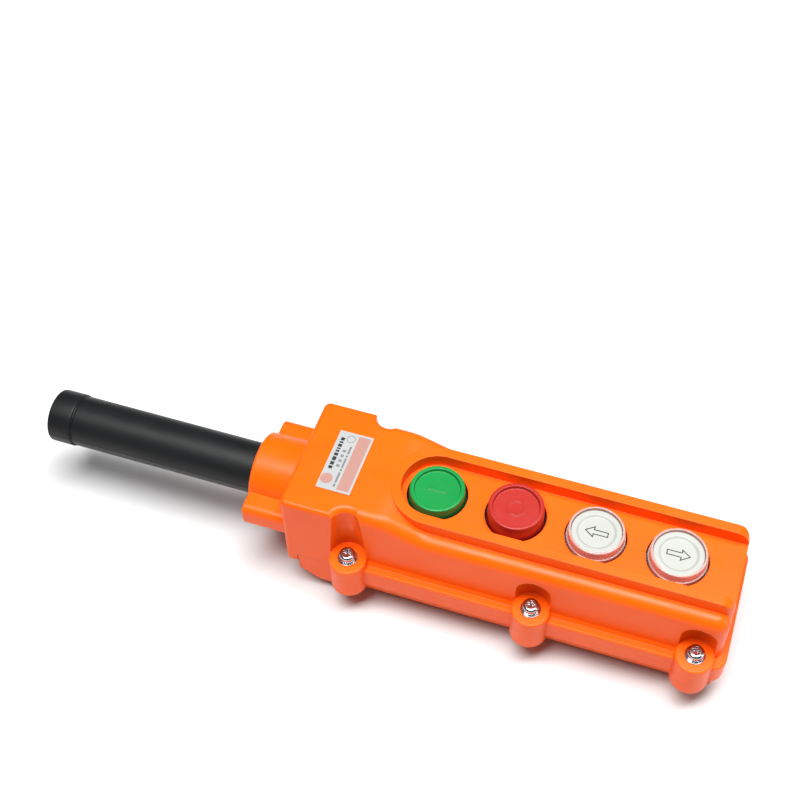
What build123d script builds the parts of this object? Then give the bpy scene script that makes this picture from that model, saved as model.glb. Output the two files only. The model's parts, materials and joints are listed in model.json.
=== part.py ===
from build123d import *
import os

# Four-button pendant control station for a hoist. Millimetres.
# +X runs from the cable end to the far end, +Y across, +Z out of the button face.
# Z = 0 is the plane the station lies on, the crest of the two rear ridges.
# The X dimensions below are laid out from a datum 23 mm short of the start button;
# every piece is saved moved by SHIFT_X, so the saved origin is the middle of the length.

os.makedirs("parts", exist_ok=True)

# ---- heights of the main planes
Z_REAR_SHOULDER = 3.0
Z_REAR_FLANGE = 17.0
Z_PART = 22.5
Z_FRONT_FLANGE = 28.0
Z_FLOOR = 53.0
Z_RIM = 59.3
WALL = 3.2
PANEL_UNDER = Z_FLOOR - 3.0

# ---- lengths along X
X_SLEEVE_END = -157.0
X_NECK_END = -57.6
X_HEAD = -37.0
X_SEAM = -31.3
X_COVER_END = -31.0
X_BODY_END = 151.2
X_FLANGE_END = 154.0
SHIFT_X = -(X_SLEEVE_END + X_FLANGE_END) / 2
RAMP_FRONT = (6.5, 24.0)
RAMP_REAR = (-31.0, -17.6)
REAR_RAMP_RISE = 9.4

# ---- half widths across Y
HALF_BODY_BASE = 26.7
HALF_BODY_TOP = 25.5
HALF_HEAD_BASE = 28.8
HALF_HEAD_TOP = 28.0
HEAD_CORNER = 2.8
HEAD_ROLL = 2.0
HALF_FLANGE = 30.9
RIM_IN = 15.15
RIM_OUT = 19.5

# ---- cable entry
AXIS_Z = 35.7
NECK_R = 17.6
SLEEVE_R = 11.4
SLEEVE_BORE_R = 7.6
COLLAR_R = 11.9
COLLAR_LENGTH = 11.0
SLEEVE_FLANGE_R = 13.4
LUG_HALF = 25.7
LUG_SCREW_Y = 20.5
LUG_X = (-56.9, X_HEAD)
LUG_POCKET = (4.0, 2.7)
EYE_X = -50.5
EYE_Z = 11.1
EYE_R = 6.6
EYE_HOLE_R = 2.3
EAR_Y = (2.65, 7.35)

# ---- housing screws
BOSS_X = (-7.5, 72.6, 141.0)
BOSS_Y = 29.0
BOSS_R = 8.0
SCALLOP_R = 7.9
SCALLOP_TOP_R = 5.9
SCALLOP_LIP = 3.0
BULGE_R = 10.4
Z_FRONT_PAD = 32.0
Z_REAR_PAD = 13.5
SCREW_R = 1.98
SCREW_HOLE_R = 2.15
INSERT_R = 2.7
TIP_HOLE_R = 3.3
WASHER_R = 4.25
WASHER_T = 0.8
LOCK_WASHER_R = 3.65
LOCK_WASHER_T = 1.0
SCREW_TIP_Z = 15.0

# ---- buttons
START_X = 23.0
PITCH = 34.0
BUTTON_X = {
    "start": START_X,
    "stop": START_X + PITCH,
    "up": START_X + 2 * PITCH,
    "down": START_X + 3 * PITCH,
}
# Which side of its plunger each contact block has its two mounting ears.
EAR_SIDE = {"start": -1, "stop": -1, "up": 1, "down": -1}
HOLE_R = 12.95
TRAVEL = 3.5
CAP_R = 11.9
CAP_TOP_R = 11.6
CAP_RISE = {"start": 4.5, "stop": 6.9}
LENS_RISE = 5.1
LENS_BASE_R = 12.2
LENS_LIP = 1.0
DISC_R = 10.6
DISC_Z = (54.5, 57.0)
DISC_DISH_R = (7.3, 8.3)
DISC_DISH_DEPTH = 0.8
DISH_R = (9.5, 9.9)
DISH_DEPTH = 1.4
CAP_FLANGE_R = 14.2
CAP_FLANGE_Z = (46.4, 48.4)
PLUNGER_R = 4.0
PLUNGER_TOP = 51.0
SHOULDER_Z = 34.0
SPIGOT_R = 2.0
SPIGOT_END = 27.0
BASE_TOP = 22.0
BASE_UNDER = 18.0
BLOCK_TOP = 42.5
BLOCK_HALF = (13.0, 15.5)
EAR_SCREW = (9.5, 19.9)
CONTACT_Y = 10.0
TERMINAL_Y = 18.0

SIDES = (-1, 1)


def save(shape, name):
    export_step(Pos(SHIFT_X, 0, 0) * shape, "parts/" + name + ".step")


def box(x0, x1, y0, y1, z0, z1):
    return Pos((x0 + x1) / 2, (y0 + y1) / 2, (z0 + z1) / 2) * Box(x1 - x0, y1 - y0, z1 - z0)


def rod_z(x, y, r, z0, z1, r_top=None):
    if r_top is None:
        return Pos(x, y, (z0 + z1) / 2) * Cylinder(r, z1 - z0)
    return Pos(x, y, (z0 + z1) / 2) * Cone(r, r_top, z1 - z0)


def rod_x(y, z, r, x0, x1, r_end=None):
    turn = Pos((x0 + x1) / 2, y, z) * Rot(0, 90, 0)
    if r_end is None:
        return turn * Cylinder(r, x1 - x0)
    return turn * Cone(r, r_end, x1 - x0)


def rod_y(x, z, r, y0, y1):
    return Pos(x, (y0 + y1) / 2, z) * Rot(90, 0, 0) * Cylinder(r, y1 - y0)


def ring_z(x, y, r_in, r_out, z0, z1):
    return rod_z(x, y, r_out, z0, z1) - rod_z(x, y, r_in, z0 - 1, z1 + 1)


def polygon(points, radii):
    """Closed outline with its own corner radius at each point that has one."""
    face = Polygon(*points, align=None)
    for (px, py), r in zip(points, radii):
        if r:
            corner = face.vertices().sort_by_distance(Vector(px, py, 0))[0]
            face = fillet([corner], r)
    return face


def along_x(points, radii, x0, x1):
    """Extrude an outline given as (y, z) points from x0 to x1."""
    return extrude(Plane.YZ.offset(x0) * polygon(points, radii), x1 - x0, dir=(1, 0, 0))


def along_y(points, radii, half):
    """Extrude an outline given as (x, z) points to both sides of Y = 0."""
    return extrude(Plane.XZ * polygon(points, radii), half, both=True)


def along_z(points, radii, z0, z1):
    """Extrude an outline given as (x, y) points from z0 to z1."""
    return extrude(Plane.XY.offset(z0) * polygon(points, radii), z1 - z0, dir=(0, 0, 1))


def tapered_bar(half_base, half_top, z_base, z_top, r, x0, x1):
    """Bar along X whose far corners (at z_top) are rounded."""
    points = [(-half_base, z_base), (half_base, z_base), (half_top, z_top), (-half_top, z_top)]
    return along_x(points, [0, 0, r, r], x0, x1)


def end_profile(x0, x1, z_base, z_top, r):
    """Side view block that rounds the far end's corner at z_top."""
    points = [(x0, z_base), (x1, z_base), (x1, z_top), (x0, z_top)]
    return along_y(points, [0, 0, r, 0], 60)


def plan_block(x0, x1, half, r_left, r_right, z0, z1):
    points = [(x0, -half), (x1, -half), (x1, half), (x0, half)]
    return along_z(points, [r_left, r_right, r_right, r_left], z0, z1)


def stadium(r, x_end, r_end, z0, z1):
    """Block with a half-round left end centred on the start button."""
    return rod_z(START_X, 0, r, z0, z1) + plan_block(START_X, x_end, r, 0, r_end, z0, z1)


def at_bosses():
    return [(x, side * BOSS_Y) for x in BOSS_X for side in SIDES]


def union(shapes):
    total = shapes[0]
    for shape in shapes[1:]:
        total = total + shape
    return total


# ------------------------------------------------------------------ front housing
def grip_body():
    """Gripped length: flat shoulder rising to the head, with rolled outer edges."""
    top_half = HALF_BODY_TOP - 0.26
    body = tapered_bar(HALF_BODY_BASE, top_half, Z_PART, Z_RIM, 0, BOSS_X[0], X_BODY_END)
    side = [(BOSS_X[0], Z_PART), (X_BODY_END, Z_PART), (X_BODY_END, Z_FLOOR),
            (RAMP_FRONT[1], Z_FLOOR), (RAMP_FRONT[0], Z_RIM), (BOSS_X[0], Z_RIM)]
    body &= along_y(side, [0, 0, 5.4, 20, 20, 0], 60)
    rolled = []
    for face in body.faces():
        if abs(face.normal_at().Y) > 0.9:
            for edge in face.edges():
                centre = edge.center()
                if centre.Z > Z_PART + 1 and centre.X > BOSS_X[0] + 1:
                    rolled.append(edge)
    return fillet(rolled, 5)


def head_block():
    """Block at the cable end with rounded corners and a rolled top edge."""
    head = tapered_bar(HALF_HEAD_BASE, HALF_HEAD_TOP, Z_PART, Z_RIM, 0, X_HEAD, BOSS_X[0])
    end = head.faces().sort_by(Axis.X)[0]
    head = fillet([edge for edge in end.edges() if abs(edge.tangent_at(0.5).Z) > 0.9], HEAD_CORNER)
    top = head.faces().sort_by(Axis.Z)[-1]
    return fillet([edge for edge in top.edges() if edge.center().X < BOSS_X[0] - 1], HEAD_ROLL)


def front_outer():
    body = grip_body()
    foot = tapered_bar(HALF_BODY_BASE + 1.3, HALF_BODY_BASE - 0.3, Z_FRONT_FLANGE - 0.5,
                       Z_FRONT_FLANGE + 1.6, 0, BOSS_X[0], X_BODY_END - 3)

    rim = stadium(RIM_OUT, X_BODY_END, 4, PANEL_UNDER, Z_RIM)
    rim &= end_profile(-10, X_BODY_END, PANEL_UNDER, Z_RIM, 6)

    low = [(-HALF_HEAD_BASE, Z_PART), (-HALF_HEAD_BASE, 15.2), (HALF_HEAD_BASE, 15.2),
           (HALF_HEAD_BASE, Z_PART)]
    end_wall = along_x(low, [0, 4, 4, 0], X_HEAD, X_SEAM)
    end_wall &= plan_block(X_HEAD, X_SEAM, HALF_HEAD_BASE, HEAD_CORNER, 0, 10, Z_PART)

    flange = plan_block(BOSS_X[0], X_FLANGE_END, HALF_FLANGE, 0, 6.6, Z_PART, Z_FRONT_FLANGE)
    flange = chamfer(flange.faces().sort_by(Axis.Z)[-1].edges(), 0.5)
    return union([body, foot, rim, head_block(), end_wall, flange])


def boss(x, y, z_pad, z_end):
    """Half-buried round boss with a softened pad edge."""
    post = rod_z(x, y, BOSS_R, min(z_pad, z_end), max(z_pad, z_end))
    order = -1 if z_pad > z_end else 0
    return fillet(post.faces().sort_by(Axis.Z)[order].edges(), 0.8)


def scallop(x, y, through):
    """Relief above a screw pad: open to the top with a rounded lip, or domed."""
    if through:
        z_lip = Z_RIM - SCALLOP_LIP
        lip_r = SCALLOP_TOP_R + SCALLOP_LIP
        lip = rod_z(x, y, lip_r, z_lip, Z_RIM + 1) - Pos(x, y, z_lip) * Torus(lip_r, SCALLOP_LIP)
        return rod_z(x, y, SCALLOP_R, Z_FRONT_PAD, Z_RIM + 1, SCALLOP_TOP_R) + lip
    z_dome = Z_FRONT_PAD + 7.5
    return rod_z(x, y, SCALLOP_R, Z_FRONT_PAD, z_dome) + Pos(x, y, z_dome) * Sphere(SCALLOP_R)


def neck():
    barrel = rod_x(0, AXIS_Z, NECK_R - 0.4, X_NECK_END, X_HEAD + 1, NECK_R + 0.2)
    barrel = fillet(barrel.faces().sort_by(Axis.X)[0].edges(), 1.2)
    z0, z1 = AXIS_Z - 6, AXIS_Z + 6
    points = [(-LUG_HALF, z0), (LUG_HALF, z0), (LUG_HALF, z1), (-LUG_HALF, z1)]
    lugs = along_x(points, [3.5] * 4, LUG_X[0], X_HEAD + 1)
    lugs = fillet(lugs.faces().sort_by(Axis.X)[0].edges(), 1.0)
    return barrel + lugs


def hanging_ears():
    ears = []
    for side in SIDES:
        y0, y1 = sorted((side * EAR_Y[0], side * EAR_Y[1]))
        ear = rod_y(EYE_X, EYE_Z, EYE_R, y0, y1)
        ear += box(EYE_X - EYE_R, EYE_X + EYE_R, y0, y1, EYE_Z, AXIS_Z - SLEEVE_R - 1)
        outer = ear.faces().sort_by(Axis.Y)[-1 if side > 0 else 0]
        ears.append(fillet(outer.edges().filter_by(GeomType.CIRCLE), 0.9))
    return union(ears)


def front_cavity():
    half = HALF_BODY_BASE - WALL
    body = tapered_bar(half, half - 1.2, Z_PART - 1, PANEL_UNDER, 2, BOSS_X[0], X_BODY_END - WALL)
    body &= plan_block(BOSS_X[0], X_BODY_END - WALL, half, 0, 2.5, Z_PART - 1, PANEL_UNDER)
    head = box(-27.6, BOSS_X[0], -25.3, 25.3, Z_PART - 1, Z_RIM - 3)
    gland_bay = box(X_SEAM, -27.6, -25.3, 25.3, 26.0, Z_RIM - 3)
    crown = box(BOSS_X[0], 3.5, -21, 21, PANEL_UNDER - 1, Z_RIM - 3)
    cavity = union([body, head, gland_bay, crown])
    for x, y in at_bosses():
        cavity -= rod_z(x, y, BULGE_R, Z_PART - 2, Z_RIM + 1)
    return cavity


def block_posts(hole_only):
    """Posts under the panel that carry the contact blocks, or only their screw holes."""
    posts = []
    for name, x in BUTTON_X.items():
        for side in SIDES:
            px = x + EAR_SIDE[name] * EAR_SCREW[0]
            py = side * EAR_SCREW[1]
            if hole_only:
                posts.append(rod_z(px, py, 1.5, BLOCK_TOP - 1, PANEL_UNDER - 1))
            else:
                posts.append(rod_z(px, py, 3.2, BLOCK_TOP, PANEL_UNDER + 0.5))
    return union(posts)


def clamp_rib():
    """Cross rib under the head with a half-round seat for the cable."""
    rib = box(-22, -16, -15.5, 15.5, 37.5, Z_RIM - 2.5)
    rib -= rod_x(0, AXIS_Z, 7.5, -23, -15)
    for side in SIDES:
        rib -= rod_z(-19, side * 12, 1.5, 30, 49)
    return rib


def front_housing():
    shape = front_outer() + neck() + hanging_ears()
    for x, y in at_bosses():
        shape += boss(x, y, Z_FRONT_PAD, Z_PART)
    for x, y in at_bosses():
        shape -= scallop(x, y, x == BOSS_X[0])
    channel = stadium(RIM_IN, X_BODY_END + 1, 0, Z_FLOOR, Z_RIM + 1)
    shape -= channel
    shape -= front_cavity()
    shape += block_posts(False)
    shape -= block_posts(True)
    shape += clamp_rib()
    for x in BUTTON_X.values():
        shape -= rod_z(x, 0, HOLE_R, PANEL_UNDER - 1, Z_FLOOR + 1)
    for x, y in at_bosses():
        shape -= rod_z(x, y, SCREW_HOLE_R, Z_PART - 1, Z_FRONT_PAD + 1)
    shape -= rod_x(0, AXIS_Z, SLEEVE_R + 0.05, X_NECK_END - 1, X_SEAM + 1)
    shape -= rod_x(0, AXIS_Z, SLEEVE_FLANGE_R + 0.1, X_SEAM - 4, X_SEAM + 1)
    for side in SIDES:
        shape -= rod_x(side * LUG_SCREW_Y, AXIS_Z, SCREW_HOLE_R, LUG_X[0] - 1, X_SEAM + 1)
        pocket_r, pocket_depth = LUG_POCKET
        shape -= rod_x(side * LUG_SCREW_Y, AXIS_Z, pocket_r, LUG_X[0] - 1, LUG_X[0] + pocket_depth)
    shape -= rod_y(EYE_X, EYE_Z, EYE_HOLE_R, -9, 9)
    shape -= box(EYE_X - 12, EYE_X + 12, -EAR_Y[0], EAR_Y[0], 0, AXIS_Z - NECK_R + 0.5)
    return shape


# ------------------------------------------------------------------ rear cover
def rear_side_view(z_level, r_end, x_start=RAMP_REAR[0]):
    """Side view of the rear surface: ramp at the cable end, then flat at z_level."""
    points = [(x_start, Z_PART), (x_start, z_level + REAR_RAMP_RISE), (RAMP_REAR[1], z_level),
              (X_BODY_END, z_level), (X_BODY_END, Z_PART)]
    return along_y(points, [0, 0, 0, r_end, 0], 60)


def rear_outer():
    body = tapered_bar(HALF_BODY_BASE, HALF_BODY_TOP + 0.4, Z_PART, Z_REAR_SHOULDER, 4.5,
                       BOSS_X[0], X_BODY_END)
    head = tapered_bar(HALF_HEAD_BASE, HALF_HEAD_TOP + 0.2, Z_PART, Z_REAR_SHOULDER, 4.5,
                       X_COVER_END, BOSS_X[0])
    shell = (body + head) & rear_side_view(Z_REAR_SHOULDER, 4)
    shell &= plan_block(X_COVER_END, X_BODY_END, HALF_HEAD_BASE, 0, 5.5, 0, Z_PART)

    ridge = plan_block(X_COVER_END, X_BODY_END, RIM_OUT, 0, 3, 0, 14)
    ridge -= box(X_COVER_END - 1, X_BODY_END + 1, -RIM_IN, RIM_IN, -1, 15)
    ridge &= rear_side_view(0, 5)

    flange = plan_block(BOSS_X[0], X_FLANGE_END, HALF_FLANGE, 0, 6.6, Z_REAR_FLANGE, Z_PART)
    flange = chamfer(flange.faces().sort_by(Axis.Z)[0].edges(), 0.5)
    return union([shell, ridge, flange])


def rear_cavity():
    half = HALF_BODY_BASE - WALL
    z_in = Z_REAR_SHOULDER + WALL
    x0, x1 = X_COVER_END + WALL, X_BODY_END - WALL
    bay = plan_block(x0, x1, half, 1, 2.5, z_in, Z_PART + 1)
    side = [(x0, Z_PART + 1), (x0, z_in + REAR_RAMP_RISE - 1.5), (RAMP_REAR[1] + 1.5, z_in),
            (x1, z_in), (x1, Z_PART + 1)]
    bay &= along_y(side, [0, 0, 0, 2, 0], 60)
    for x, y in at_bosses():
        bay -= rod_z(x, y, 5.6, 0, Z_PART + 2)
    return bay


def gasket_ring(width, z0, z1):
    x0, x1, half = X_COVER_END + WALL / 2, X_BODY_END - WALL / 2, 24.7
    w = width / 2
    outer = plan_block(x0 - w, x1 + w, half + w, 3 + w, 4 + w, z0, z1)
    return outer - plan_block(x0 + w, x1 - w, half - w, 3 - w, 4 - w, z0 - 1, z1 + 1)


def rear_cover():
    shape = rear_outer()
    for x, y in at_bosses():
        shape += boss(x, y, Z_REAR_PAD, Z_PART)
    for x, y in at_bosses():
        side = 1 if y > 0 else -1
        depth = 20 if x == BOSS_X[0] else 5
        shape -= rod_z(x, side * (BOSS_Y + 5.8), 10.2, Z_REAR_PAD - depth, Z_REAR_PAD)
    shape -= rear_cavity()
    shape -= gasket_ring(1.6, Z_PART - 1.5, Z_PART + 1)
    for x, y in at_bosses():
        shape -= rod_z(x, y, INSERT_R, Z_REAR_PAD + 3, Z_PART + 1)
        shape -= rod_z(x, y, TIP_HOLE_R, Z_REAR_PAD - 1, Z_REAR_PAD + 3)
    return shape


# ------------------------------------------------------------------ fasteners
def cross_recess(size, depth):
    arm = Box(size, size / 4, depth)
    return arm + Rot(0, 0, 90) * arm


def pan_screw(head_r, head_h, shank_r, length):
    """Pan head screw: head above Z = 0, shank below."""
    head = Pos(0, 0, head_h / 2) * Cylinder(head_r, head_h)
    head = fillet(head.faces().sort_by(Axis.Z)[-1].edges(), head_h * 0.55)
    head -= Pos(0, 0, head_h - 0.5) * cross_recess(head_r * 1.05, 1.6)
    shank = Pos(0, 0, -length / 2) * Cylinder(shank_r, length)
    shank = chamfer(shank.faces().sort_by(Axis.Z)[0].edges(), shank_r * 0.3)
    return head + shank


def fasteners():
    z_lock = Z_FRONT_PAD + WASHER_T
    z_seat = z_lock + LOCK_WASHER_T
    cover_screw = pan_screw(3.45, 2.3, SCREW_R, z_seat - SCREW_TIP_Z)
    save(Compound([Pos(x, y, z_seat) * cover_screw for x, y in at_bosses()]), "cover_screws")

    washer = ring_z(0, 0, SCREW_R + 0.1, WASHER_R, 0, WASHER_T)
    save(Compound([Pos(x, y, Z_FRONT_PAD) * washer for x, y in at_bosses()]), "cover_washers")

    split = Pos(LOCK_WASHER_R - 1, 0, LOCK_WASHER_T / 2) * Rot(25, 0, 0) * Box(3, 0.5, 3)
    lock_washer = ring_z(0, 0, SCREW_R + 0.1, LOCK_WASHER_R, 0, LOCK_WASHER_T) - split
    save(Compound([Pos(x, y, z_lock) * lock_washer for x, y in at_bosses()]),
         "cover_lock_washers")

    insert = ring_z(0, 0, SCREW_R + 0.02, INSERT_R - 0.02, Z_REAR_PAD + 3, Z_PART - 0.2)
    save(Compound([Pos(x, y, 0) * insert for x, y in at_bosses()]), "cover_inserts")

    x_seat = LUG_X[0] + LUG_POCKET[1]
    gland_screw = pan_screw(3.6, 2.5, SCREW_R, 28.3)
    placed = [Pos(x_seat, s * LUG_SCREW_Y, AXIS_Z) * Rot(0, -90, 0) * gland_screw for s in SIDES]
    save(Compound(placed), "gland_screws")

    small = pan_screw(2.6, 1.9, 1.48, 16.0)
    placed = [Pos(-19, s * 12, 25) * Rot(180, 0, 0) * small for s in SIDES]
    save(Compound(placed), "cable_clamp_screws")

    block_screw = pan_screw(2.6, 1.9, 1.48, 8.5)
    placed = []
    for name, x in BUTTON_X.items():
        for s in SIDES:
            px = x + EAR_SIDE[name] * EAR_SCREW[0]
            placed.append(Pos(px, s * EAR_SCREW[1], BLOCK_TOP - 3) * Rot(180, 0, 0) * block_screw)
    save(Compound(placed), "contact_block_screws")

    terminal = pan_screw(2.4, 1.7, 1.28, 6.2)
    placed = [Pos(x, s * TERMINAL_Y, BASE_UNDER) * Rot(180, 0, 0) * terminal
              for x in BUTTON_X.values() for s in SIDES]
    save(Compound(placed), "terminal_screws")


# ------------------------------------------------------------------ cable entry
def cable_entry():
    sleeve = rod_x(0, AXIS_Z, SLEEVE_R, X_SLEEVE_END, X_SEAM - 0.2)
    collar = rod_x(0, AXIS_Z, COLLAR_R, X_SLEEVE_END, X_SLEEVE_END + COLLAR_LENGTH)
    sleeve += fillet(collar.edges().filter_by(GeomType.CIRCLE), 0.7)
    sleeve += rod_x(0, AXIS_Z, SLEEVE_FLANGE_R, X_SEAM - 3.8, X_SEAM - 0.2)
    sleeve -= rod_x(0, AXIS_Z, SLEEVE_BORE_R, X_SLEEVE_END - 1, X_SEAM + 1)
    save(sleeve, "cable_sleeve")

    plate = box(X_SEAM + 0.1, X_SEAM + 2.3, -24.8, 24.8, 26.4, 49.5)
    plate = fillet(plate.edges().filter_by(Axis.X), 3)
    plate -= rod_x(0, AXIS_Z, 8.5, X_SEAM - 1, X_SEAM + 4)
    for side in SIDES:
        plate -= rod_x(side * LUG_SCREW_Y, AXIS_Z, SCREW_R + 0.02, X_SEAM - 1, X_SEAM + 4)
    save(plate, "gland_plate")

    bar = box(-22, -16, -15.5, 15.5, 25, 34.5)
    bar = fillet(bar.edges().filter_by(Axis.X).group_by(Axis.Z)[0], 2)
    bar -= rod_x(0, AXIS_Z, 7.5, -23, -15)
    for side in SIDES:
        bar -= rod_z(-19, side * 12, 1.6, 20, 40)
    save(bar, "cable_clamp_bar")


# ------------------------------------------------------------------ buttons
def cap_skirt(x, r_out, r_in, z_top):
    """Sleeve of a cap with the flange that keeps it under the panel."""
    skirt = ring_z(x, 0, r_in, r_out, CAP_FLANGE_Z[0], z_top)
    return skirt + ring_z(x, 0, r_in, CAP_FLANGE_R, *CAP_FLANGE_Z)


def plunger_socket(x, z_web):
    return ring_z(x, 0, PLUNGER_R, 5.6, 47.6, PLUNGER_TOP) + rod_z(x, 0, 5.6, PLUNGER_TOP, z_web)


def coloured_cap(name, mark):
    x = BUTTON_X[name]
    z_top = Z_FLOOR + CAP_RISE[name]
    dish_z = z_top - DISH_DEPTH
    crown = rod_z(x, 0, CAP_R, Z_FLOOR, z_top, CAP_TOP_R)
    crown = fillet(crown.faces().sort_by(Axis.Z)[-1].edges(), 0.7)
    crown -= rod_z(x, 0, 9.9, Z_FLOOR - 1, dish_z - 2)
    dish = rod_z(x, 0, DISH_R[0], dish_z, z_top + 0.1, DISH_R[1])
    return union([crown - dish, mark(x, dish_z), cap_skirt(x, CAP_R, 9.9, Z_FLOOR + 0.5),
                  plunger_socket(x, dish_z - 1)])


def bar_mark(x, z):
    return box(x - 4, x + 4, -0.7, 0.7, z - 0.5, z + 0.25)


def circle_mark(x, z):
    return ring_z(x, 0, 2.9, 4.1, z - 0.5, z + 0.25)


def lens_cap(x):
    """Clear cap: lipped, tapered cup that holds the legend disc, with skirt and socket."""
    z_lip = Z_FLOOR + LENS_LIP
    z_top = Z_FLOOR + LENS_RISE
    lip = rod_z(x, 0, LENS_BASE_R, Z_FLOOR - 1, z_lip)
    lip = fillet(lip.faces().sort_by(Axis.Z)[-1].edges(), 0.35)
    cup = rod_z(x, 0, LENS_BASE_R - 0.4, z_lip - 1, z_top, CAP_TOP_R)
    cup = fillet(cup.faces().sort_by(Axis.Z)[-1].edges(), 0.7)
    cup -= rod_z(x, 0, DISC_R + 0.05, DISC_Z[0] - 0.05, z_top + 1)
    lip -= rod_z(x, 0, 9.9, Z_FLOOR - 2, z_lip + 1)
    skirt = cap_skirt(x, LENS_BASE_R, 9.9, Z_FLOOR - 0.5)
    return union([cup, lip, skirt, plunger_socket(x, DISC_Z[0] - 1)])


def legend_disc(x):
    z0, z_top = DISC_Z
    disc = rod_z(x, 0, DISC_R, z0, z_top)
    disc = fillet(disc.faces().sort_by(Axis.Z)[-1].edges(), 0.7)
    return disc - rod_z(x, 0, DISC_DISH_R[0], z_top - DISC_DISH_DEPTH, z_top, DISC_DISH_R[1])


def plunger(x):
    shaft = rod_z(x, 0, PLUNGER_R, SHOULDER_Z, PLUNGER_TOP)
    spigot = rod_z(x, 0, SPIGOT_R, SPIGOT_END, SHOULDER_Z)
    return shaft + chamfer(spigot.faces().sort_by(Axis.Z)[0].edges(), 0.4)


def contact_bridge(x):
    strip = box(x - 2.5, x + 2.5, -12, 12, SHOULDER_Z - 1, SHOULDER_Z)
    strip = fillet(strip.edges().filter_by(Axis.Z), 1.2)
    for side in SIDES:
        strip += rod_z(x, side * CONTACT_Y, 1.8, SHOULDER_Z - 1.8, SHOULDER_Z - 1)
    return strip - rod_z(x, 0, SPIGOT_R + 0.02, 30, 40)


def return_spring(x):
    wire_r, coil_r, turns = 0.45, 3.1, 5
    z0, z1 = BASE_TOP + wire_r, SHOULDER_Z - 1 - wire_r
    helix = Helix((z1 - z0) / turns, z1 - z0, coil_r, center=(x, 0, z0))
    start = Plane(origin=helix @ 0, z_dir=helix % 0)
    return sweep(start * Circle(wire_r), path=helix)


def buttons():
    caps = {
        "start": coloured_cap("start", bar_mark),
        "stop": coloured_cap("stop", circle_mark),
        "up": lens_cap(BUTTON_X["up"]),
        "down": lens_cap(BUTTON_X["down"]),
    }
    for name, x in BUTTON_X.items():
        save(caps[name], name + "_button_cap")
        save(plunger(x), name + "_plunger")
        save(contact_bridge(x), name + "_contact_bridge")
        save(return_spring(x), name + "_return_spring")
    for name in ("up", "down"):
        save(legend_disc(BUTTON_X[name]), name + "_legend_disc")

    seals = []
    for name, x in BUTTON_X.items():
        r_in = 12.25 if name in ("start", "stop") else 12.75
        seals.append(ring_z(x, 0, r_in, 16.4, PANEL_UNDER - 1.3, PANEL_UNDER))
    save(Compound(seals), "button_seals")


# ------------------------------------------------------------------ contact blocks
def block_body(x, ear_side):
    half_x, half_y = BLOCK_HALF
    body = box(x - half_x, x + half_x, -half_y, half_y, BASE_TOP, BLOCK_TOP)
    body = fillet(body.edges().filter_by(Axis.Z), 1.5)
    x_in, x_out = sorted((x + ear_side * 6.2, x + ear_side * half_x))
    body += box(x_in, x_out, -22.1, 22.1, BLOCK_TOP - 3, BLOCK_TOP)
    body -= box(x - 6.5, x + 6.5, -13.5, 13.5, BASE_TOP - 1, BLOCK_TOP - 2.5)
    body -= box(x - 3.3, x + 3.3, -20, 20, BASE_TOP - 1, BASE_TOP + 1.1)
    body -= rod_z(x, 0, PLUNGER_R + 0.05, BASE_TOP, BLOCK_TOP + 1)
    for side in SIDES:
        px = x + ear_side * EAR_SCREW[0]
        body -= rod_z(px, side * EAR_SCREW[1], 1.6, BLOCK_TOP - 5, BLOCK_TOP + 1)
    return body


def block_base(x):
    half_x, half_y = BLOCK_HALF
    plate = box(x - half_x, x + half_x, -half_y, half_y, BASE_UNDER, BASE_TOP)
    plate = fillet(plate.edges().filter_by(Axis.Z), 1.5)
    plate += box(x - 4.8, x + 4.8, -20.6, 20.6, BASE_UNDER, BASE_TOP)
    for side in SIDES:
        plate -= rod_z(x, side * TERMINAL_Y, 1.4, BASE_UNDER - 1, BASE_TOP + 1)
    return plate


def fixed_contact(x, side):
    y0, y1 = sorted((side * 8.0, side * 20.2))
    strip = box(x - 3, x + 3, y0, y1, BASE_TOP, BASE_TOP + 1)
    strip += rod_z(x, side * CONTACT_Y, 1.8, BASE_TOP + 1, SHOULDER_Z - 1.8 - TRAVEL - 0.3)
    return strip - rod_z(x, side * TERMINAL_Y, 1.3, BASE_TOP - 1, BASE_TOP + 2)


def contact_blocks():
    save(Compound([block_body(x, EAR_SIDE[n]) for n, x in BUTTON_X.items()]),
         "contact_block_bodies")
    save(Compound([block_base(x) for x in BUTTON_X.values()]), "contact_block_bases")
    save(Compound([fixed_contact(x, s) for x in BUTTON_X.values() for s in SIDES]),
         "fixed_contacts")


save(front_housing(), "front_housing")
save(rear_cover(), "rear_cover")
save(gasket_ring(1.5, Z_PART - 1.5, Z_PART), "housing_gasket")
save(box(-25, -10, -16, 14.5, Z_RIM, Z_RIM + 0.4), "rating_label")
fasteners()
cable_entry()
buttons()
contact_blocks()
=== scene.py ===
"""Looks of the four-button pendant control station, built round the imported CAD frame.

Everything is in metres, in the frame of the CAD model: +X runs from the cable sleeve to
the far end, +Y across, +Z out of the button face, and Z = 0 is the surface it lies on.
"""

import json
import math

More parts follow.
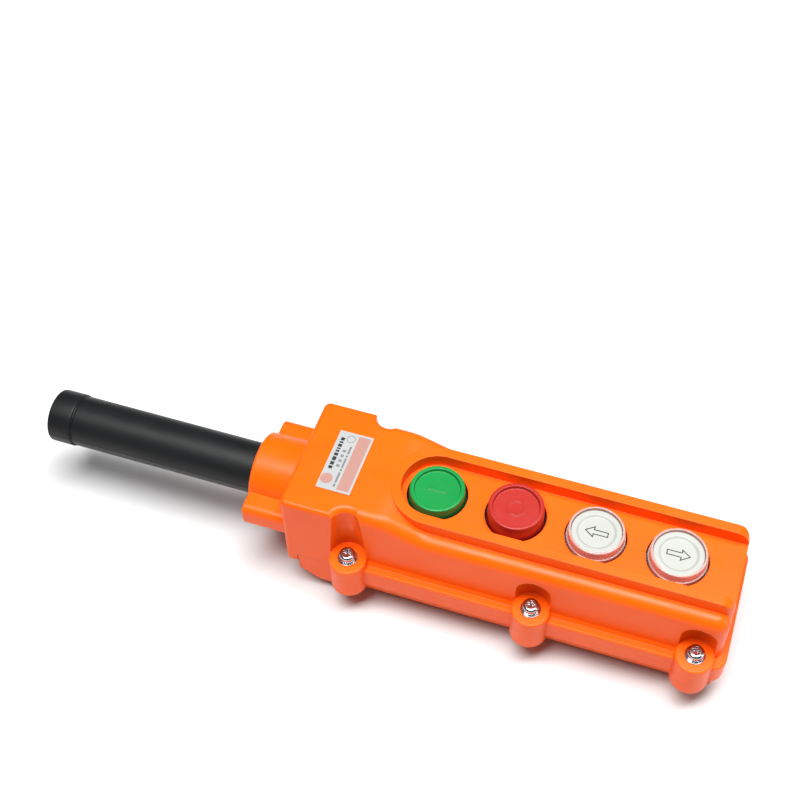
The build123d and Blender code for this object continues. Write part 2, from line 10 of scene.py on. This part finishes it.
import bpy
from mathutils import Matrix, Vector


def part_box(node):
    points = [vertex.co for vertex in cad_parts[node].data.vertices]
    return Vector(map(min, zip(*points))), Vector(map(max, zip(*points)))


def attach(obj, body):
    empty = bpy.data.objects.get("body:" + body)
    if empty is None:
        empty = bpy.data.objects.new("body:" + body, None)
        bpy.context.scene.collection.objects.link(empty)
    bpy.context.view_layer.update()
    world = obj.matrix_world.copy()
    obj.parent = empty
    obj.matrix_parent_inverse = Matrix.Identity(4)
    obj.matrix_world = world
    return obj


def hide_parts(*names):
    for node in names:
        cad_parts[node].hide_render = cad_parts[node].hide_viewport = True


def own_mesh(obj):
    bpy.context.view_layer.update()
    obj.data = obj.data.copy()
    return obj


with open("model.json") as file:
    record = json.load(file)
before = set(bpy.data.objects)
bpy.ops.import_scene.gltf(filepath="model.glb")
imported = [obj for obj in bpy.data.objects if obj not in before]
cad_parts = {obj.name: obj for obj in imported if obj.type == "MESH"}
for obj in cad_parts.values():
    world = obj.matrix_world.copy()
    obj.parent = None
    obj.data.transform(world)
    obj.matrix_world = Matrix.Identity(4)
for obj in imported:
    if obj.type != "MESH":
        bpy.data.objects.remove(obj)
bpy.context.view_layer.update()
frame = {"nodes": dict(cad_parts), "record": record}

MM = 0.001

# ---- what the CAD model fixes
BUTTONS = ("start", "stop", "up", "down")
LEGEND_DISH = 0.8 * MM

# ---- cable sleeve: radii, and lengths from its free end
SLEEVE_BORE = 7.6 * MM
SLEEVE_BODY = 11.4 * MM
SLEEVE_COLLAR = 11.9 * MM
COLLAR_LENGTH = 11.0 * MM
COLLAR_GROOVE = 0.35 * MM
FLANGE_THICKNESS = 3.6 * MM
SLEEVE_RING_SPACING = 6 * MM
OUTSIDE_FROM_R = 10 * MM
MOULD_LINE_HEIGHT = 0.12 * MM
MOULD_LINE_SPREAD = 0.0012

# ---- return springs
WIRE_R = 0.45 * MM
COIL_R = 3.1 * MM
COIL_TURNS = 5

# ---- print: how far it sinks into its surface and stands above it
PRINT_SINK = 0.01 * MM
PRINT_RISE = 0.03 * MM
ARROW_SINK = 0.02 * MM
ARROW_RISE = 0.04 * MM
ARROW_LENGTH = 10.0 * MM
ARROW_HEAD = 4.1 * MM
ARROW_HALF_HEAD = 2.9 * MM
ARROW_HALF_SHAFT = 1.25 * MM
ARROW_LINE = 0.44 * MM

# ---- colours, as display values from 0 to 1; DEEP is where the tone drifts to, the third colour of each a painted highlight on rounded corners
ORANGE = (0.940, 0.345, 0.008)
ORANGE_DEEP = (0.920, 0.325, 0.006)
ORANGE_PAINTED_HIGHLIGHT = (0.98, 0.43, 0.14)
GREEN = (0.025, 0.490, 0.220)
GREEN_DEEP = (0.020, 0.460, 0.200)
GREEN_PAINTED_HIGHLIGHT = (0.22, 0.62, 0.36)
RED = (0.610, 0.140, 0.110)
RED_DEEP = (0.580, 0.110, 0.090)
RED_PAINTED_HIGHLIGHT = (0.76, 0.28, 0.25)
# the clear acrylic's pink base colour is a painted reflection of the orange housing round it
CLEAR_PAINTED_PINK_CAST = (0.740, 0.610, 0.580)
CLEAR_PAINTED_PINK_CAST_DEEP = (0.720, 0.580, 0.545)
CLEAR_CAST_PAINTED_HIGHLIGHT = (0.77, 0.68, 0.66)
WHITE_DISC = (0.625, 0.632, 0.610)
WHITE_DISC_DEEP = (0.610, 0.616, 0.598)
WHITE_DISC_PAINTED_HIGHLIGHT = (0.67, 0.67, 0.66)
LABEL_FOIL = (0.62, 0.625, 0.625)
LABEL_FOIL_DEEP = (0.60, 0.605, 0.605)
LABEL_FOIL_PAINTED_HIGHLIGHT = (0.67, 0.675, 0.675)
INK = (0.06, 0.06, 0.07)
INK_DEEP = (0.10, 0.10, 0.11)
INK_GREY = (0.36, 0.37, 0.38)
INK_GREY_DEEP = (0.42, 0.43, 0.44)
LABEL_TINT = (0.58, 0.42, 0.385)
LABEL_TINT_DEEP = (0.61, 0.44, 0.40)
RUBBER_BLACK = (0.072, 0.077, 0.080)
RUBBER_DEEP = (0.056, 0.059, 0.063)
RUBBER_DUST = (0.14, 0.145, 0.15)
ZINC = (0.72, 0.72, 0.73)
ZINC_DEEP = (0.62, 0.62, 0.64)
STEEL = (0.66, 0.67, 0.69)
STEEL_DEEP = (0.56, 0.57, 0.60)
BRASS = (0.86, 0.70, 0.36)
BRASS_DEEP = (0.78, 0.60, 0.28)
SPRING_STEEL = (0.74, 0.74, 0.76)
SPRING_STEEL_DEEP = (0.60, 0.60, 0.62)
PHENOLIC = (0.12, 0.12, 0.125)
PHENOLIC_DEEP = (0.085, 0.085, 0.09)
FLOOR_WHITE = (0.80, 0.80, 0.80)
FLOOR_DEEP = (0.81, 0.81, 0.81)

# ---- floor, lights and camera
FLOOR_HALF = 3.0
WORLD_STRENGTH = 0.12
LIGHT_TARGET = (0.0, 0.0, 0.03)
KEY_PLACE = (0.05, -0.05, 1.40)
KEY_SIZE = (1.4, 0.6)
KEY_POWER = 49
END_PLACE = (1.00, 0.05, 0.40)
END_SIZE = (0.3, 0.9)
END_POWER = 3
CAMERA_PLACE = (0.1216, -0.2965, 0.5120)
CAMERA_TILT = 37.41
CAMERA_TURN = 17.94
CAMERA_LENS = 59.63
CAMERA_SENSOR = 36.0
CAMERA_SHIFT = (-0.05, 0.025)

# Sockets of Blender's Mix node in its colour mode
MIX_FIRST, MIX_SECOND, MIX_RESULT = 6, 7, 2


# ------------------------------------------------------------------ materials
def linear(display):
    """Display colour to the scene-linear colour that the shader takes."""
    out = []
    for c in display:
        out.append(c / 12.92 if c <= 0.04045 else ((c + 0.055) / 1.055) ** 2.4)
    return (*out, 1.0)


class Nodes:
    """Short calls for one material's node tree; every texture is in the part's own frame."""

    def __init__(self, name):
        self.material = bpy.data.materials.new(name)
        self.material.use_nodes = True
        self.tree = self.material.node_tree
        self.shader = self.tree.nodes["Principled BSDF"]
        self.place = self.tree.nodes.new("ShaderNodeTexCoord").outputs["Object"]

    def link(self, source, target):
        self.tree.links.new(source, target)

    def noise(self, size, detail=3.0, roughness=0.5, stretch=(1, 1, 1)):
        """Noise whose features are about size metres across, longer along a small stretch."""
        mapping = self.tree.nodes.new("ShaderNodeMapping")
        mapping.inputs["Scale"].default_value = stretch
        self.link(self.place, mapping.inputs["Vector"])
        node = self.tree.nodes.new("ShaderNodeTexNoise")
        node.inputs["Scale"].default_value = 1.0 / size
        node.inputs["Detail"].default_value = detail
        node.inputs["Roughness"].default_value = roughness
        self.link(mapping.outputs["Vector"], node.inputs["Vector"])
        return node.outputs["Fac"]

    def spread(self, value, low, high, start=0.3, end=0.7):
        """Maps a noise value to the range from low to high."""
        node = self.tree.nodes.new("ShaderNodeMapRange")
        node.inputs["From Min"].default_value = start
        node.inputs["From Max"].default_value = end
        node.inputs["To Min"].default_value = low
        node.inputs["To Max"].default_value = high
        self.link(value, node.inputs["Value"])
        return node.outputs["Result"]

    def mix(self, factor, first, second):
        """Blends two display colours, or a socket and a display colour."""
        node = self.tree.nodes.new("ShaderNodeMix")
        node.data_type = "RGBA"
        self.link(factor, node.inputs["Factor"])
        for socket, colour in ((node.inputs[MIX_FIRST], first), (node.inputs[MIX_SECOND], second)):
            if isinstance(colour, bpy.types.NodeSocket):
                self.link(colour, socket)
            else:
                socket.default_value = linear(colour)
        return node.outputs[MIX_RESULT]

    def edges(self, radius):
        """1 on corners tighter than the radius, 0 on flat faces."""
        bevel = self.tree.nodes.new("ShaderNodeBevel")
        bevel.samples = 4
        bevel.inputs["Radius"].default_value = radius
        geometry = self.tree.nodes.new("ShaderNodeNewGeometry")
        dot = self.tree.nodes.new("ShaderNodeVectorMath")
        dot.operation = "DOT_PRODUCT"
        self.link(bevel.outputs["Normal"], dot.inputs[0])
        self.link(geometry.outputs["Normal"], dot.inputs[1])
        return self.spread(dot.outputs["Value"], 1.0, 0.0, start=0.80, end=0.995)

    def soft_corners(self, radius):
        """Normal of the surface with its corners rounded off to the radius."""
        bevel = self.tree.nodes.new("ShaderNodeBevel")
        bevel.samples = 6
        bevel.inputs["Radius"].default_value = radius
        return bevel.outputs["Normal"]

    def bump(self, height, depth, normal=None):
        node = self.tree.nodes.new("ShaderNodeBump")
        node.inputs["Distance"].default_value = depth
        self.link(height, node.inputs["Height"])
        if normal is not None:
            self.link(normal, node.inputs["Normal"])
        return node.outputs["Normal"]

    def finish(self, colour, roughness, normal, **sockets):
        self.link(colour, self.shader.inputs["Base Color"])
        self.link(roughness, self.shader.inputs["Roughness"])
        self.link(normal, self.shader.inputs["Normal"])
        for name, value in sockets.items():
            self.shader.inputs[name.replace("_", " ")].default_value = value
        return self.material


def moulded_plastic(name, light, deep, painted_highlight, gloss=(0.30, 0.40), corner=0.5 * MM, **sockets):
    """Moulding with a slow tone drift, handling marks, orange peel and a painted highlight on its
    corners.
    """
    drift_size, highlight_breakup_size, handling_size = 28 * MM, 3 * MM, 9 * MM
    peel_size, peel_depth = 1.4 * MM, 0.012 * MM
    grain_size, grain_depth = 0.25 * MM, 0.002 * MM
    n = Nodes(name)
    drift = n.spread(n.noise(drift_size, 2, stretch=(0.6, 1, 1)), 0.0, 1.0)
    colour = n.mix(drift, light, deep)
    highlight_breakup = n.noise(highlight_breakup_size, 4)
    # painted highlight: corners turn towards the lighter colour, standing in for light caught on
    # rounded edges; noise breaks it up
    painted_highlight_mask = n.tree.nodes.new("ShaderNodeMath")
    painted_highlight_mask.operation = "MULTIPLY"
    n.link(n.edges(corner), painted_highlight_mask.inputs[0])
    n.link(n.spread(highlight_breakup, 0.15, 0.55), painted_highlight_mask.inputs[1])
    colour = n.mix(painted_highlight_mask.outputs[0], colour, painted_highlight)
    handled = n.spread(n.noise(handling_size, 5, 0.6), *gloss)
    peel = n.bump(n.noise(peel_size, 2), peel_depth, n.soft_corners(corner))
    grain = n.bump(n.noise(grain_size, 2), grain_depth, peel)
    return n.finish(colour, handled, grain, **sockets)


def rubber(name, colour, deep):
    """Rubber with fine drawn lines along X and a dusty bloom."""
    bloom_size, dust_size, polish_size = 14 * MM, 1.1 * MM, 7 * MM
    line_size, line_depth = 0.9 * MM, 0.02 * MM
    grain_size, grain_depth = 0.3 * MM, 0.008 * MM
    n = Nodes(name)
    bloom = n.spread(n.noise(bloom_size, 4, 0.6, stretch=(0.35, 1, 1)), 0.0, 1.0)
    tone = n.mix(bloom, deep, colour)
    dust = n.spread(n.noise(dust_size, 5, 0.7), 0.0, 0.35, start=0.55, end=0.80)
    tone = n.mix(dust, tone, RUBBER_DUST)
    roughness = n.spread(n.noise(polish_size, 4, stretch=(0.3, 1, 1)), 0.40, 0.52)
    drawn = n.bump(n.noise(line_size, 3, stretch=(0.04, 1, 1)), line_depth)
    grain = n.bump(n.noise(grain_size, 3), grain_depth, drawn)
    return n.finish(tone, roughness, grain, Specular_IOR_Level=0.22)


def plated_metal(name, colour, deep, roughness, drawn=(1, 1, 1), **sockets):
    """Bright plated or bare metal with handling marks and soft corners."""
    tone_size, polish_size, corner = 1.6 * MM, 0.8 * MM, 0.15 * MM
    mark_size, mark_depth = 0.35 * MM, 0.006 * MM
    n = Nodes(name)
    tone = n.mix(n.spread(n.noise(tone_size, 4, 0.6), 0.0, 1.0), colour, deep)
    rough = n.spread(n.noise(polish_size, 4, 0.6), *roughness)
    soft = n.soft_corners(corner)
    marks = n.bump(n.noise(mark_size, 3, stretch=drawn), mark_depth, soft)
    return n.finish(tone, rough, marks, Metallic=1.0, **sockets)


def matt_plastic(name, colour, deep):
    """Thermoset moulding with a fine speckle."""
    speckle_size, polish_size, corner = 0.7 * MM, 2.5 * MM, 0.25 * MM
    grain_size, grain_depth = 0.3 * MM, 0.010 * MM
    n = Nodes(name)
    tone = n.mix(n.spread(n.noise(speckle_size, 4, 0.7), 0.0, 1.0), colour, deep)
    rough = n.spread(n.noise(polish_size, 4), 0.42, 0.60)
    grain = n.bump(n.noise(grain_size, 3), grain_depth, n.soft_corners(corner))
    return n.finish(tone, rough, grain)


def printed_ink(name, colour, deep):
    """Thin print with a slightly uneven density."""
    density_size, polish_size = 0.3 * MM, 0.6 * MM
    grain_size, grain_depth = 0.12 * MM, 0.002 * MM
    n = Nodes(name)
    tone = n.mix(n.spread(n.noise(density_size, 3), 0.0, 1.0), colour, deep)
    rough = n.spread(n.noise(polish_size, 3), 0.40, 0.55)
    return n.finish(tone, rough, n.bump(n.noise(grain_size, 2), grain_depth))


def studio_floor(name):
    """Matt white board."""
    tone_size, polish_size = 400 * MM, 100 * MM
    grain_size, grain_depth = 2 * MM, 0.001 * MM
    n = Nodes(name)
    tone = n.mix(n.spread(n.noise(tone_size, 2), 0.0, 1.0), FLOOR_WHITE, FLOOR_DEEP)
    rough = n.spread(n.noise(polish_size, 2), 0.78, 0.86)
    return n.finish(tone, rough, n.bump(n.noise(grain_size, 2), grain_depth))


def clear_cap_plastic():
    """Cloudy acrylic whose pink base colour is a painted reflection of the orange housing round it."""
    return moulded_plastic("clear_acrylic", CLEAR_PAINTED_PINK_CAST, CLEAR_PAINTED_PINK_CAST_DEEP, CLEAR_CAST_PAINTED_HIGHLIGHT,
                           gloss=(0.12, 0.20), corner=0.35 * MM,
                           Transmission_Weight=0.08, IOR=1.49,
                           Subsurface_Weight=0.6, Subsurface_Scale=3 * MM)


def label_plate():
    return moulded_plastic("label_foil", LABEL_FOIL, LABEL_FOIL_DEEP, LABEL_FOIL_PAINTED_HIGHLIGHT,
                           gloss=(0.38, 0.48), corner=0.1 * MM, Metallic=0.15)


def make_materials():
    """One material for each slot of the record, and the three inks."""
    return {
        "housing": moulded_plastic("orange_abs", ORANGE, ORANGE_DEEP, ORANGE_PAINTED_HIGHLIGHT,
                                   Specular_IOR_Level=0.20),
        "green": moulded_plastic("green_cap", GREEN, GREEN_DEEP, GREEN_PAINTED_HIGHLIGHT,
                                 Specular_IOR_Level=0.30),
        "red": moulded_plastic("red_cap", RED, RED_DEEP, RED_PAINTED_HIGHLIGHT,
                               Specular_IOR_Level=0.30),
        "white": moulded_plastic("white_disc", WHITE_DISC, WHITE_DISC_DEEP, WHITE_DISC_PAINTED_HIGHLIGHT,
                                 gloss=(0.30, 0.42)),
        "clear": clear_cap_plastic(),
        "rubber": rubber("black_rubber", RUBBER_BLACK, RUBBER_DEEP),
        "zinc": plated_metal("zinc_plate", ZINC, ZINC_DEEP, (0.12, 0.20)),
        "steel": plated_metal("plated_sheet", STEEL, STEEL_DEEP, (0.26, 0.40), drawn=(1, 0.08, 1)),
        "brass": plated_metal("brass", BRASS, BRASS_DEEP, (0.22, 0.34)),
        "spring": plated_metal("spring_wire", SPRING_STEEL, SPRING_STEEL_DEEP, (0.18, 0.30)),
        "black_plastic": matt_plastic("phenolic", PHENOLIC, PHENOLIC_DEEP),
        "label": label_plate(),
        "ink": printed_ink("black_ink", INK, INK_DEEP),
        "grey_ink": printed_ink("grey_ink", INK_GREY, INK_GREY_DEEP),
        "tint_ink": printed_ink("tint_ink", LABEL_TINT, LABEL_TINT_DEEP),
    }


materials = make_materials()


# ------------------------------------------------------------------ mesh helpers
def new_piece(name, vertices, faces, material, smooth=True):
    """A mesh object in the frame, in metres."""
    mesh = bpy.data.meshes.new(name)
    mesh.from_pydata(vertices, [], faces)
    mesh.materials.append(material)
    for polygon in mesh.polygons:
        polygon.use_smooth = smooth
    mesh.validate()
    piece = bpy.data.objects.new(name, mesh)
    bpy.context.scene.collection.objects.link(piece)
    return piece


def lathe_along_x(name, profile, axis_z, material, ridge=None, segments=160):
    """Closed solid of revolution about the line Y = 0, Z = axis_z; profile is (x, radius) pairs."""
    vertices = []
    for x, radius in profile:
        for k in range(segments):
            angle = 2 * math.pi * k / segments
            r = radius + (ridge(x, radius, angle) if ridge else 0.0)
            vertices.append((x, r * math.cos(angle), axis_z + r * math.sin(angle)))
    faces = []
    rings = len(profile)
    for i in range(rings):
        j = (i + 1) % rings
        for k in range(segments):
            m = (k + 1) % segments
            faces.append((i * segments + k, j * segments + k, j * segments + m, i * segments + m))
    return new_piece(name, vertices, faces, material)


def rounded(x_from, r_from, x_to, r_to, corner_x, corner_r, steps=5):
    """Points of a rounded corner from one (x, r) point to another, pulled towards a corner."""
    points = []
    for k in range(steps + 1):
        t = k / steps
        a, b, c = (1 - t) ** 2, 2 * t * (1 - t), t * t
        points.append((a * x_from + b * corner_x + c * x_to, a * r_from + b * corner_r + c * r_to))
    return points


def plate_from_outline(vertices, faces, outline, z0, z1):
    """Adds a prism with a convex outline to the lists."""
    first, count = len(vertices), len(outline)
    vertices += [(x, y, z0) for x, y in outline]
    vertices += [(x, y, z1) for x, y in outline]
    faces.append(tuple(reversed(range(first, first + count))))
    faces.append(tuple(range(first + count, first + 2 * count)))
    for k in range(count):
        m = (k + 1) % count
        faces.append((first + k, first + m, first + count + m, first + count + k))


def inset(outline, width):
    """Corners of an outline moved inwards by width, mitred."""
    count = len(outline)
    moved = []
    for k in range(count):
        before, here = Vector(outline[k - 1]), Vector(outline[k])
        after = Vector(outline[(k + 1) % count])
        d0, d1 = (here - before).normalized(), (after - here).normalized()
        n0, n1 = Vector((-d0.y, d0.x)), Vector((-d1.y, d1.x))
        mitre = (n0 + n1) / (1 + n0.dot(n1))
        moved.append(tuple(here + mitre * width))
    return moved


def line_frame(vertices, faces, outline, width, z0, z1):
    """Adds a printed line of that width along a closed outline (anticlockwise)."""
    inner = inset(outline, width)
    count = len(outline)
    for k in range(count):
        m = (k + 1) % count
        plate_from_outline(vertices, faces, [outline[k], outline[m], inner[m], inner[k]], z0, z1)


# ------------------------------------------------------------------ cable sleeve
def sleeve_ridge(x, radius, angle):
    """Mould line along both sides of the sleeve, on its outside only."""
    if radius < OUTSIDE_FROM_R:
        return 0.0
    side = abs(math.cos(angle))
    return MOULD_LINE_HEIGHT * math.exp(-(((1 - side) / MOULD_LINE_SPREAD) ** 2))


def sleeve_profile(x0, x1, flange_r):
    """(x, radius) points from the bore at the flange, round the free end, to the flange."""
    collar_end = x0 + COLLAR_LENGTH
    groove_r = SLEEVE_BODY - COLLAR_GROOVE
    points = [(x1, SLEEVE_BORE), (x0 + 1.5 * MM, SLEEVE_BORE)]
    points += rounded(x0 + 0.9 * MM, SLEEVE_BORE, x0, SLEEVE_BORE + 0.9 * MM, x0, SLEEVE_BORE)
    points += rounded(x0, SLEEVE_COLLAR - 1.1 * MM, x0 + 1.1 * MM, SLEEVE_COLLAR, x0, SLEEVE_COLLAR)
    points += rounded(collar_end - 0.7 * MM, SLEEVE_COLLAR, collar_end, SLEEVE_COLLAR - 0.5 * MM,
                      collar_end, SLEEVE_COLLAR)
    points += [(collar_end + 0.1 * MM, groove_r), (collar_end + 0.6 * MM, groove_r)]
    points += rounded(collar_end + 0.8 * MM, SLEEVE_BODY - 0.2 * MM, collar_end + 1.6 * MM, SLEEVE_BODY,
                      collar_end + 0.9 * MM, SLEEVE_BODY)
    steps = int((x1 - 4 * MM - collar_end) / SLEEVE_RING_SPACING)
    points += [(collar_end + SLEEVE_RING_SPACING * (k + 1), SLEEVE_BODY) for k in range(steps)]
    flange_x = x1 - FLANGE_THICKNESS
    return points + [(flange_x, SLEEVE_BODY), (flange_x, flange_r), (x1, flange_r)]


def cable_sleeve():
    low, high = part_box("cable_sleeve")
    axis_z = (low.z + high.z) / 2
    profile = sleeve_profile(low.x, high.x, (high.z - low.z) / 2)
    sleeve = lathe_along_x("cable_sleeve_rubber", profile, axis_z, materials["rubber"], sleeve_ridge)
    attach(sleeve, "housing")
    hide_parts("cable_sleeve")


# ------------------------------------------------------------------ return springs
def coil(x, y, z0, z1, coil_r, wire_r, turns):
    """Vertices and faces of a round wire wound round a vertical axis, with flat ends."""
    steps, sides = 28, 10
    count = turns * steps
    vertices = []
    for i in range(count + 1):
        angle = 2 * math.pi * i / steps
        outward = Vector((math.cos(angle), math.sin(angle), 0))
        centre = Vector((x, y, z0 + (z1 - z0) * i / count)) + outward * coil_r
        for k in range(sides):
            turn = 2 * math.pi * k / sides
            around = outward * math.cos(turn) + Vector((0, 0, math.sin(turn)))
            vertices.append(tuple(centre + around * wire_r))
    faces = [tuple(range(sides)), tuple(reversed(range(count * sides, (count + 1) * sides)))]
    for i in range(count):
        for k in range(sides):
            here, above = i * sides + k, i * sides + (k + 1) % sides
            faces.append((here, here + sides, above + sides, above))
    return vertices, faces


def return_springs():
    """Coils of round wire in place of the rigid CAD coils."""
    for name in BUTTONS:
        low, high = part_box(name + "_return_spring")
        x, y = (low.x + high.x) / 2, (low.y + high.y) / 2
        vertices, faces = coil(x, y, low.z + WIRE_R, high.z - WIRE_R, COIL_R, WIRE_R, COIL_TURNS)
        spring = new_piece(name + "_spring_wire", vertices, faces, materials["spring"])
        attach(spring, "housing")
        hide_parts(name + "_return_spring")
        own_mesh(spring)


# ------------------------------------------------------------------ printed marks
def arrow_outline(x, y, direction):
    """Anticlockwise outline of a block arrow centred on (x, y) that points along +X or -X."""
    tip, tail = ARROW_LENGTH / 2, -ARROW_LENGTH / 2
    neck = tip - ARROW_HEAD
    points = [(tail, -ARROW_HALF_SHAFT), (neck, -ARROW_HALF_SHAFT), (neck, -ARROW_HALF_HEAD),
              (tip, 0), (neck, ARROW_HALF_HEAD), (neck, ARROW_HALF_SHAFT), (tail, ARROW_HALF_SHAFT)]
    if direction < 0:
        points = [(-px, -py) for px, py in points]
    return [(x + px, y + py) for px, py in points]


def arrows():
    """The arrow printed in the dish of each legend disc."""
    for name, direction in (("up", -1), ("down", 1)):
        low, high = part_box(name + "_legend_disc")
        centre_x, centre_y = (low.x + high.x) / 2, (low.y + high.y) / 2
        face_z = high.z - LEGEND_DISH
        vertices, faces = [], []
        outline = arrow_outline(centre_x, centre_y, direction)
        line_frame(vertices, faces, outline, ARROW_LINE, face_z - ARROW_SINK, face_z + ARROW_RISE)
        arrow = new_piece(name + "_arrow_print", vertices, faces, materials["ink"], smooth=False)
        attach(arrow, name + "_button")


def rectangle(x0, x1, y0, y1):
    return [(x0, y0), (x1, y0), (x1, y1), (x0, y1)]


def disc(x, y, r, sides=48):
    return [(x + r * math.cos(2 * math.pi * k / sides), y + r * math.sin(2 * math.pi * k / sides))
            for k in range(sides)]


def row_of_bars(vertices, faces, x0, x1, y_start, lengths, gap, z0, z1):
    """Bars one after another along Y, standing for a line of print."""
    y = y_start
    for length in lengths:
        plate_from_outline(vertices, faces, rectangle(x0, x1, y, y + length), z0, z1)
        y += length + gap


def label_heading(x, y, z0, z1):
    """Nine dark bars of uneven length, standing for a heading."""
    bars, gap, height = [1.5, 1.7, 2.1, 1.5, 0.9, 0.7, 1.5, 0.9, 1.6], 0.55 * MM, 1.7 * MM
    vertices, faces = [], []
    row_of_bars(vertices, faces, x, x + height, y, [bar * MM for bar in bars], gap, z0, z1)
    return new_piece("label_heading_print", vertices, faces, materials["ink"], smooth=False)


def label_text(low, high, z0, z1):
    """Two grey rows of bars and a ring, standing for small print and a mark."""
    vertices, faces = [], []
    short_bar, short_x = 1.3 * MM, low.x + 4.5 * MM
    row_of_bars(vertices, faces, short_x, short_x + 1.4 * MM, low.y + 12.0 * MM,
                [short_bar] * 4, short_bar, z0, z1)
    long_bars, long_gap, long_x = [1.6, 5.4, 1.2, 5.0, 1.1, 4.2], 0.6 * MM, low.x + 6.8 * MM
    row_of_bars(vertices, faces, long_x, long_x + 0.9 * MM, low.y + 2.0 * MM,
                [bar * MM for bar in long_bars], long_gap, z0, z1)
    ring_r, ring_line = 1.9 * MM, 0.3 * MM
    ring = disc(low.x + 5.9 * MM, high.y - 3.4 * MM, ring_r)
    line_frame(vertices, faces, ring, ring_line, z0, z1)
    return new_piece("label_text_print", vertices, faces, materials["grey_ink"], smooth=False)


def label_panel(low, high, z0, z1):
    """Tinted panel along one side of the label and a tinted disc in its corner."""
    vertices, faces = [], []
    border, end_border, width, disc_r = 0.9 * MM, 1.0 * MM, 5.3 * MM, 2.6 * MM
    x1 = high.x - border
    panel = rectangle(x1 - width, x1, low.y + end_border, high.y - end_border)
    plate_from_outline(vertices, faces, panel, z0, z1)
    plate_from_outline(vertices, faces, disc(low.x + 2.9 * MM, low.y + 5.2 * MM, disc_r), z0, z1)
    return new_piece("label_panel_print", vertices, faces, materials["tint_ink"], smooth=False)


def label_print():
    low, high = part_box("rating_label")
    z0, z1 = high.z - PRINT_SINK, high.z + PRINT_RISE
    heading = label_heading(low.x + 1.6 * MM, low.y + 10.3 * MM, z0, z1)
    for piece in (heading, label_text(low, high, z0, z1), label_panel(low, high, z0, z1)):
        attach(piece, "housing")


# ------------------------------------------------------------------ CAD nodes' finishes
def paint_cad_nodes():
    """Every CAD node takes the material of its slot in the record."""
    slots = {row["node"]: row["material_slot"] for row in frame["record"]["subparts"]}
    for name, node in frame["nodes"].items():
        node.data.materials.clear()
        node.data.materials.append(materials[slots[name]])


# ------------------------------------------------------------------ floor, light and camera
def area_light(name, location, target, size, power):
    data = bpy.data.lights.new(name, "AREA")
    data.shape = "RECTANGLE"
    data.size, data.size_y = size
    data.energy = power
    light = bpy.data.objects.new(name, data)
    light.location = location
    light.rotation_euler = (Vector(target) - Vector(location)).to_track_quat("-Z", "Y").to_euler()
    bpy.context.scene.collection.objects.link(light)


def studio():
    """White floor under a soft overhead light, with a weak one at the far end."""
    corners = rectangle(-FLOOR_HALF, FLOOR_HALF, -FLOOR_HALF, FLOOR_HALF)
    floor = new_piece("floor", [(x, y, 0) for x, y in corners], [(0, 1, 2, 3)],
                      studio_floor("floor_paint"), smooth=False)

    world = bpy.data.worlds.new("studio")
    world.use_nodes = True
    background = world.node_tree.nodes["Background"]
    background.inputs["Color"].default_value = (1, 1, 1, 1)
    background.inputs["Strength"].default_value = WORLD_STRENGTH
    bpy.context.scene.world = world

    area_light("key", KEY_PLACE, LIGHT_TARGET, KEY_SIZE, KEY_POWER)
    area_light("end", END_PLACE, LIGHT_TARGET, END_SIZE, END_POWER)


def camera():
    data = bpy.data.cameras.new("camera")
    data.lens = CAMERA_LENS
    data.sensor_width = CAMERA_SENSOR
    data.shift_x, data.shift_y = CAMERA_SHIFT
    camera_object = bpy.data.objects.new("camera", data)
    camera_object.location = CAMERA_PLACE
    camera_object.rotation_euler = (math.radians(CAMERA_TILT), 0.0, math.radians(CAMERA_TURN))
    bpy.context.scene.collection.objects.link(camera_object)
    bpy.context.scene.camera = camera_object
    bpy.context.scene.view_settings.view_transform = "Standard"


paint_cad_nodes()
cable_sleeve()
return_springs()
arrows()
label_print()
studio()
camera()
